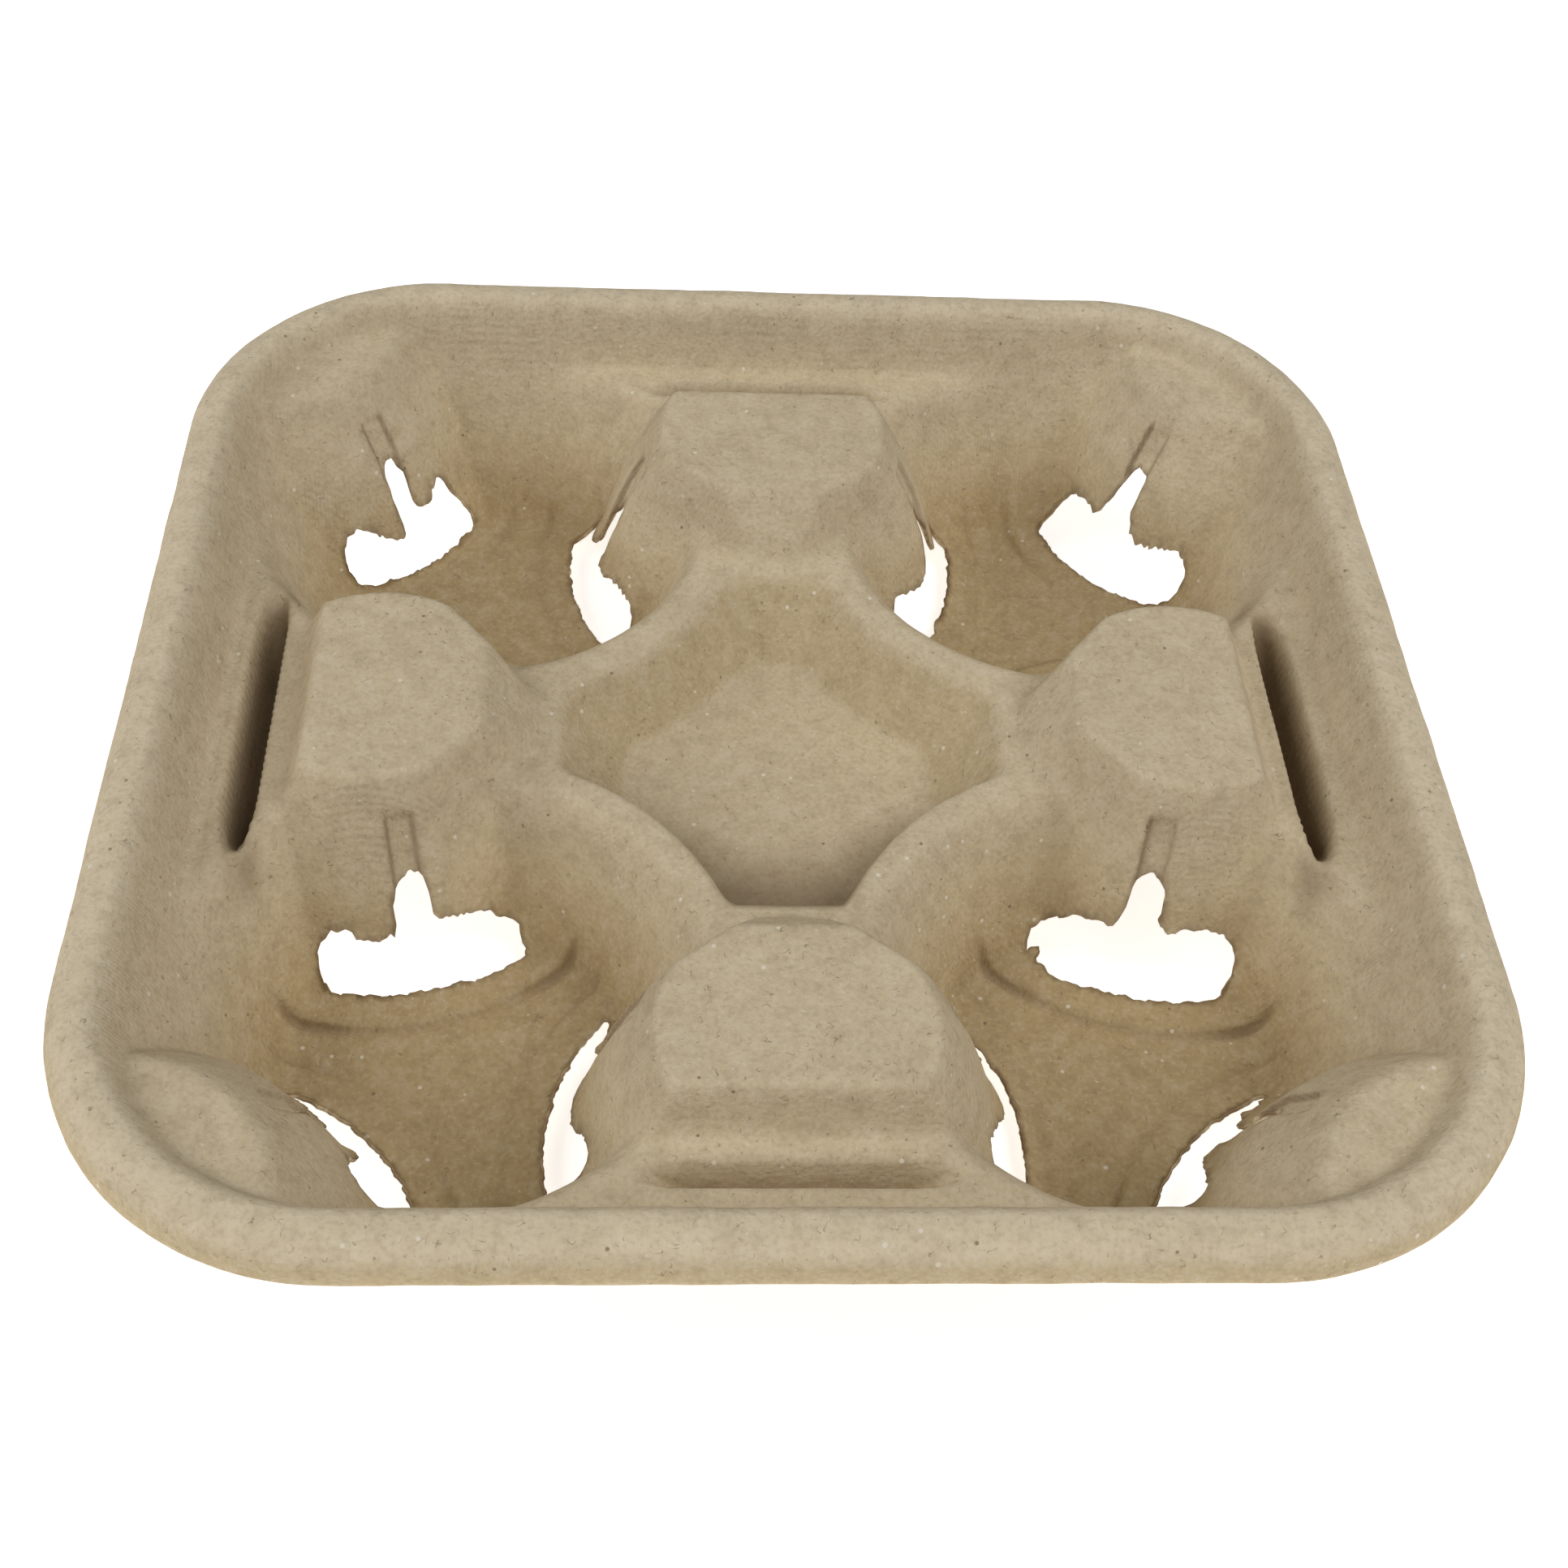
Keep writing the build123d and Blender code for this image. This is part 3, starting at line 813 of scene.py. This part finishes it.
rim_count = len(rim_loop)
edge_torn = np.concatenate([np.zeros(rim_count), np.ones(edge_count - rim_count)])
keep_on_points("torn", torn_shade(upper_gap), torn_shade(lower_gap), edge_torn)
edge_plan = upper_plan[:edge_count]
keep_on_points("steep", steepness(upper_plan), steepness(lower_plan), steepness(edge_plan))
keep_on_points("rim_top_pale", ease(*RIM_TOP_HEIGHT, upper[:, 2]), under, at_edge)
# Painted shade lines: the pressed marks, the grooves and the front end of the pocket.
shade_lines = pressed_marks(*upper_plan.T)[1]
shade_lines = np.maximum(shade_lines, groove_shade(*upper_plan.T))
shade_lines = np.maximum(shade_lines, pocket_shade(*upper_plan.T))
keep_on_points("painted_shade_lines", shade_lines, under, at_edge)
print("darkest line", round(float(shade_lines.max()), 2))

# %% [markdown]
# ## Shader sums
# A finish is a chain of small sums. Wrapping a socket in a class with the usual operators lets a
# chain be written as ordinary arithmetic, and one method makes every other kind of node.

# %% Socket wrapper


class Signal:
    def __init__(self, finish, socket):
        self.finish = finish
        self.socket = socket

    def sum(self, operation, *values):
        sockets = dict(enumerate(values))
        return self.finish.node("ShaderNodeMath", {"operation": operation}, sockets)

    def __add__(self, other):
        return self.sum("ADD", self, other)

    def __radd__(self, other):
        return self.sum("ADD", other, self)

    def __sub__(self, other):
        return self.sum("SUBTRACT", self, other)

    def __rsub__(self, other):
        return self.sum("SUBTRACT", other, self)

    def __mul__(self, other):
        return self.sum("MULTIPLY", self, other)

    def __rmul__(self, other):
        return self.sum("MULTIPLY", other, self)

    def sine(self):
        return self.sum("SINE", self)

    def distance(self, other):
        return self.sum("ABSOLUTE", self - other)

    def rises(self, low, high):
        """Goes smoothly from 0 at low to 1 at high."""
        sockets = {0: self, 1: low, 2: high}
        return self.finish.node("ShaderNodeMapRange", {"interpolation_type": "SMOOTHSTEP"}, sockets)

    def falls(self, low, high):
        return 1 - self.rises(low, high)


class Finish:
    def __init__(self, name):
        self.material = bpy.data.materials.new(name)
        self.material.use_nodes = True
        self.tree = self.material.node_tree
        self.surface = self.tree.nodes["Principled BSDF"]

    def node(self, kind, settings, sockets, output=0):
        made = self.tree.nodes.new(kind)
        for name, value in settings.items():
            setattr(made, name, value)
        for name, value in sockets.items():
            self.set(made.inputs[name], value)
        return Signal(self, made.outputs[output])

    def set(self, socket, value):
        if isinstance(value, Signal):
            self.tree.links.new(value.socket, socket)
        else:
            socket.default_value = value

    def mix(self, factor, first, second):
        return self.node("ShaderNodeMix", {"data_type": "RGBA"}, {0: factor, 6: first, 7: second}, 2)

    def noise(self, where, scale, detail):
        settings = {"noise_dimensions": "3D"}
        return self.node("ShaderNodeTexNoise", settings, {"Vector": where, "Scale": scale, "Detail": detail})

    def point_value(self, name):
        return self.node("ShaderNodeAttribute", {"attribute_name": name}, {}, "Fac")


print("socket wrapper ready")

# %% [markdown]
# ## Paper pulp
# Pulp is a felt of grey-brown fibres without gloss. Painted shade makes it browner in the
# hollows, and it is palest on the rim top. Close up it is mottled, with a few dark fibres and pale
# flecks in it. Two sine waves on the steep faces are the print of the wire screen that drained
# the wet pulp, and a fine bump shows the felt. Noise serves well for all of it, since felt has
# no pattern that repeats.

# %% Pulp finish
# The hollow colour is the painted shade of the hollows, the pocket and the skirt.
PULP_TOP = (0.63, 0.52, 0.345, 1)
PULP_HOLLOW_SHADE = (0.505, 0.382, 0.205, 1)
PULP_RIM_TOP = (0.69, 0.58, 0.405, 1)
# This colour serves both the dark tears and the painted shade lines.
PULP_TEAR_AND_SHADE = (0.20, 0.13, 0.07, 1)
PULP_DARK = (0.22, 0.16, 0.10, 1)
PULP_PALE = (0.80, 0.74, 0.62, 1)
WIRE_PITCH = 0.00065
WIRE_TURNS = 2 * np.pi / WIRE_PITCH
pulp = Finish("paper_pulp")
where = pulp.node("ShaderNodeTexCoord", {}, {}, "Object")
x_here = pulp.node("ShaderNodeSeparateXYZ", {}, {"Vector": where}, "X")
y_here = pulp.node("ShaderNodeSeparateXYZ", {}, {"Vector": where}, "Y")
cloud = pulp.noise(where, scale=70.0, detail=3.0)
blotch = pulp.noise(where, scale=330.0, detail=2.0)
grain = pulp.noise(where, scale=1250.0, detail=3.0)
breaks = pulp.noise(where, scale=720.0, detail=1.0)
strand = pulp.noise(where, scale=520.0, detail=1.5)
dark_fibre = strand.distance(0.5).falls(0.003, 0.014) * breaks.rises(0.60, 0.66)
pale_strand = pulp.noise(where, scale=610.0, detail=1.5)
pale_fibre = pale_strand.distance(0.47).falls(0.003, 0.014) * breaks.falls(0.34, 0.40)
fleck_cell = {"Vector": where, "Scale": 420.0}
fleck_size = pulp.node("ShaderNodeTexVoronoi", {"feature": "F1"}, fleck_cell, "Distance")
fleck_kind = pulp.node("ShaderNodeTexVoronoi", {"feature": "F1"}, fleck_cell, "Color")
fleck_pick = pulp.node("ShaderNodeSeparateColor", {}, {"Color": fleck_kind}, "Red")
pale_fleck = fleck_size.falls(0.10, 0.20) * fleck_pick.rises(0.93, 0.94)
dark_fleck = fleck_size.falls(0.08, 0.16) * fleck_pick.falls(0.035, 0.045)
print("felt has", len(pulp.tree.nodes), "nodes")

# %% [markdown]
# ## Colour of the pulp
# The colour starts from the form, with painted shade that makes the hollows browner, and paler
# on the rim top. The felt's own marks are mixed in after that, from the widest clouds to the
# finest flecks, and the painted shade lines and the dark tears last, because nothing lies over them.

# %% Pulp colour and surface
SCREEN_RELIEF = 0.10
BLOTCH_RELIEF = 0.9
FIBRE_RELIEF = 0.5
SHADE_LINES_MIX = 0.8
# Painted shade: the hollows, the pocket, the skirt and the underside are mixed towards a darker, browner
# colour.
colour = pulp.mix(pulp.point_value("painted_hollow_shade"), PULP_TOP, PULP_HOLLOW_SHADE)
colour = pulp.mix(pulp.point_value("rim_top_pale"), colour, PULP_RIM_TOP)
colour = pulp.mix(cloud.rises(0.35, 0.7) * 0.07, colour, PULP_DARK)
colour = pulp.mix(blotch.rises(0.45, 0.75) * 0.16, colour, PULP_DARK)
colour = pulp.mix(blotch.falls(0.28, 0.5) * 0.12, colour, PULP_PALE)
colour = pulp.mix(grain.rises(0.48, 0.70) * 0.17, colour, PULP_DARK)
colour = pulp.mix(grain.falls(0.30, 0.48) * 0.15, colour, PULP_PALE)
colour = pulp.mix(dark_fibre * 0.55, colour, PULP_DARK)
colour = pulp.mix(pale_fibre * 0.45, colour, PULP_PALE)
colour = pulp.mix(pale_fleck * 0.8, colour, PULP_PALE)
colour = pulp.mix(dark_fleck * 0.8, colour, PULP_DARK)
# Painted shade along the marks, in the grooves and behind the pocket's ridge.
colour = pulp.mix(pulp.point_value("painted_shade_lines") * SHADE_LINES_MIX, colour, PULP_TEAR_AND_SHADE)
colour = pulp.mix(pulp.point_value("torn") * blotch.rises(0.25, 0.6), colour, PULP_TEAR_AND_SHADE)
weft = (x_here * WIRE_TURNS).sine()
warp = (y_here * WIRE_TURNS).sine()
screen = (weft + warp) * pulp.point_value("steep") * cloud.rises(0.45, 0.62)
relief = grain + BLOTCH_RELIEF * blotch + SCREEN_RELIEF * screen - FIBRE_RELIEF * dark_fibre
felt = pulp.node("ShaderNodeBump", {}, {"Height": relief, "Strength": 0.55, "Distance": 0.0004})
pulp.set(pulp.surface.inputs["Base Color"], colour)
pulp.set(pulp.surface.inputs["Normal"], felt)
pulp.set(pulp.surface.inputs["Roughness"], 0.95)
pulp.set(pulp.surface.inputs["Specular IOR Level"], 0.15)
mesh.materials.append(pulp.material)
print("pulp has", len(pulp.tree.nodes), "nodes")

# %% [markdown]
# ## Floor
# The carrier stands on a pale sheet that shows through the holes as white. The sheet glows a
# little, as paper lit from below does, so it stays white under the tray, where no lamp reaches.

# %% Floor
FLOOR_HALF = 3.0
FLOOR_DROP = 0.0003
FLOOR_GLOW = 0.68
floor_corners = [
    (-FLOOR_HALF, -FLOOR_HALF, 0),
    (FLOOR_HALF, -FLOOR_HALF, 0),
    (FLOOR_HALF, FLOOR_HALF, 0),
    (-FLOOR_HALF, FLOOR_HALF, 0),
]
floor_mesh = bpy.data.meshes.new("floor")
floor_mesh.from_pydata(floor_corners, [], [(0, 1, 2, 3)])
floor = bpy.data.objects.new("floor", floor_mesh)
bpy.context.collection.objects.link(floor)
floor.location.z = -FLOOR_DROP
white = bpy.data.materials.new("white_floor")
white.use_nodes = True
paint = white.node_tree.nodes["Principled BSDF"]
paint.inputs["Base Color"].default_value = (0.9, 0.9, 0.9, 1)
paint.inputs["Roughness"].default_value = 0.9
paint.inputs["Emission Color"].default_value = (1, 1, 1, 1)
paint.inputs["Emission Strength"].default_value = FLOOR_GLOW
floor_mesh.materials.append(white)
print("floor", 2 * FLOOR_HALF, "m wide")

# %% [markdown]
# ## Light
# Three softboxes of one metre stand round the tray, at the left, the right and the front. They are
# large for so small a thing, so the shadows are soft, and their unlike heights and strengths keep
# the two sides of each column apart. The plain view transform keeps the white floor white.

# %% Light
SOFTBOX_SIZE = 1.0
bpy.context.scene.world = bpy.data.worlds.new("studio")
bpy.context.scene.world.color = (0, 0, 0)
bpy.context.scene.view_settings.view_transform = "Standard"
SOFTBOXES = [
    ("softbox_left", (-1.17, 0.0, 0.82), 9.9),
    ("softbox_right", (0.82, 0.0, 1.17), 10.2),
    ("softbox_front", (0.0, -1.12, 0.88), 5.6),
]
for name, place, energy in SOFTBOXES:
    lamp = bpy.data.lights.new(name, "AREA")
    lamp.size = SOFTBOX_SIZE
    lamp.energy = energy
    softbox = bpy.data.objects.new(name, lamp)
    bpy.context.collection.objects.link(softbox)
    softbox.location = place
    softbox.rotation_euler = (-softbox.location).to_track_quat("-Z", "Y").to_euler()
print(len(SOFTBOXES), "softboxes")

# %% [markdown]
# ## Camera
# The camera looks down on the tray from the front and a short way off, a little turned and tilted.
# Its place was found by laying the rim and the columns over their lines in a photograph.

# %% Camera
camera = bpy.data.cameras.new("camera")
camera.lens = 46.639
camera.sensor_width = 36
camera_object = bpy.data.objects.new("camera", camera)
bpy.context.collection.objects.link(camera_object)
camera_object.location = (-0.020161, -0.228312, 0.276973)
camera_object.rotation_euler = (0.7149, -0.0538, -0.0315)
bpy.context.scene.camera = camera_object
print("camera", camera.lens, "mm")
